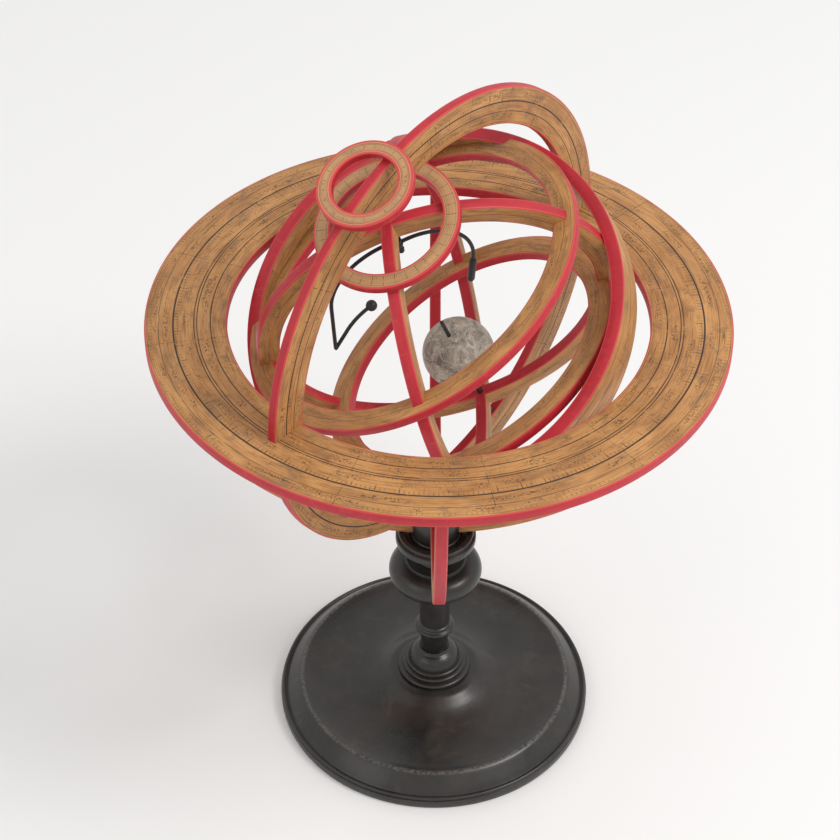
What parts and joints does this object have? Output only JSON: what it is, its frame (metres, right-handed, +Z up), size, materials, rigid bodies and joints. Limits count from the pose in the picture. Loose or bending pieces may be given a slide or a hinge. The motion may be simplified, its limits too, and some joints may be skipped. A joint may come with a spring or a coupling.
{
  "type": "armillary sphere",
  "caption": "Table armillary sphere: nested printed rings turning round an Earth ball on a polar axis, in a horizon ring on a turned black stand.",
  "frame": {"origin": "centre of the foot disc's underside, on the stem's axis", "axes": "+Z up along the stem, -Y towards the front cradle arm, +X to the right; the meridian ring's plane stands at 51 degrees from +X"},
  "size_m": [0.3, 0.3, 0.4112],
  "materials": {
    "printed_wood": "satin, printed scales, red lacquered rims",
    "black_stand": "blackened turned wood, satin, worn",
    "black_wire": "satin black",
    "grey_stone": "mottled grey painted ball"
  },
  "bodies": {
    "stand": {"foot_disc": "black_stand", "foot_bell": "black_stand", "stem": "black_stand", "knop": "black_stand", "collar": "black_stand", "head": "black_stand", "cradle_arm_side": "printed_wood", "cradle_arm_front": "printed_wood", "horizon_ring": "printed_wood"},
    "meridian": {"meridian_ring": "printed_wood", "hour_circle": "printed_wood", "north_pin": "black_wire", "south_rod": "black_wire"},
    "sphere": {"colure_front": "printed_wood", "colure_side": "printed_wood", "polar_circle": "printed_wood", "tropic_upper": "printed_wood", "tropic_lower": "printed_wood", "zodiac_band": "printed_wood"},
    "earth": {"earth_ball": "grey_stone"},
    "sun": {"sun_arm": "black_wire", "sun_weight": "black_wire"},
    "moon": {"moon_arm": "black_wire", "moon_ball": "black_wire"}
  },
  "joints": [
    {"name": "meridian_tilt", "type": "hinge", "parent": "stand", "child": "meridian", "pos_m": [0, 0, 0.2845], "axis": [0.7789, -0.6271, 0], "range_deg": [-26, 48]},
    {"name": "sphere_turn", "type": "hinge", "parent": "meridian", "child": "sphere", "pos_m": [0, 0, 0.2845], "axis": [-0.2749, -0.3414, 0.8988], "continuous": true},
    {"name": "earth_turn", "type": "hinge", "parent": "meridian", "child": "earth", "pos_m": [0, 0, 0.2845], "axis": [-0.2749, -0.3414, 0.8988], "continuous": true},
    {"name": "sun_turn", "type": "hinge", "parent": "meridian", "child": "sun", "pos_m": [0, 0, 0.2845], "axis": [-0.2749, -0.3414, 0.8988], "range_deg": [-85, 85]},
    {"name": "moon_turn", "type": "hinge", "parent": "meridian", "child": "moon", "pos_m": [0, 0, 0.2845], "axis": [-0.2749, -0.3414, 0.8988], "range_deg": [-85, 85]}
  ]
}
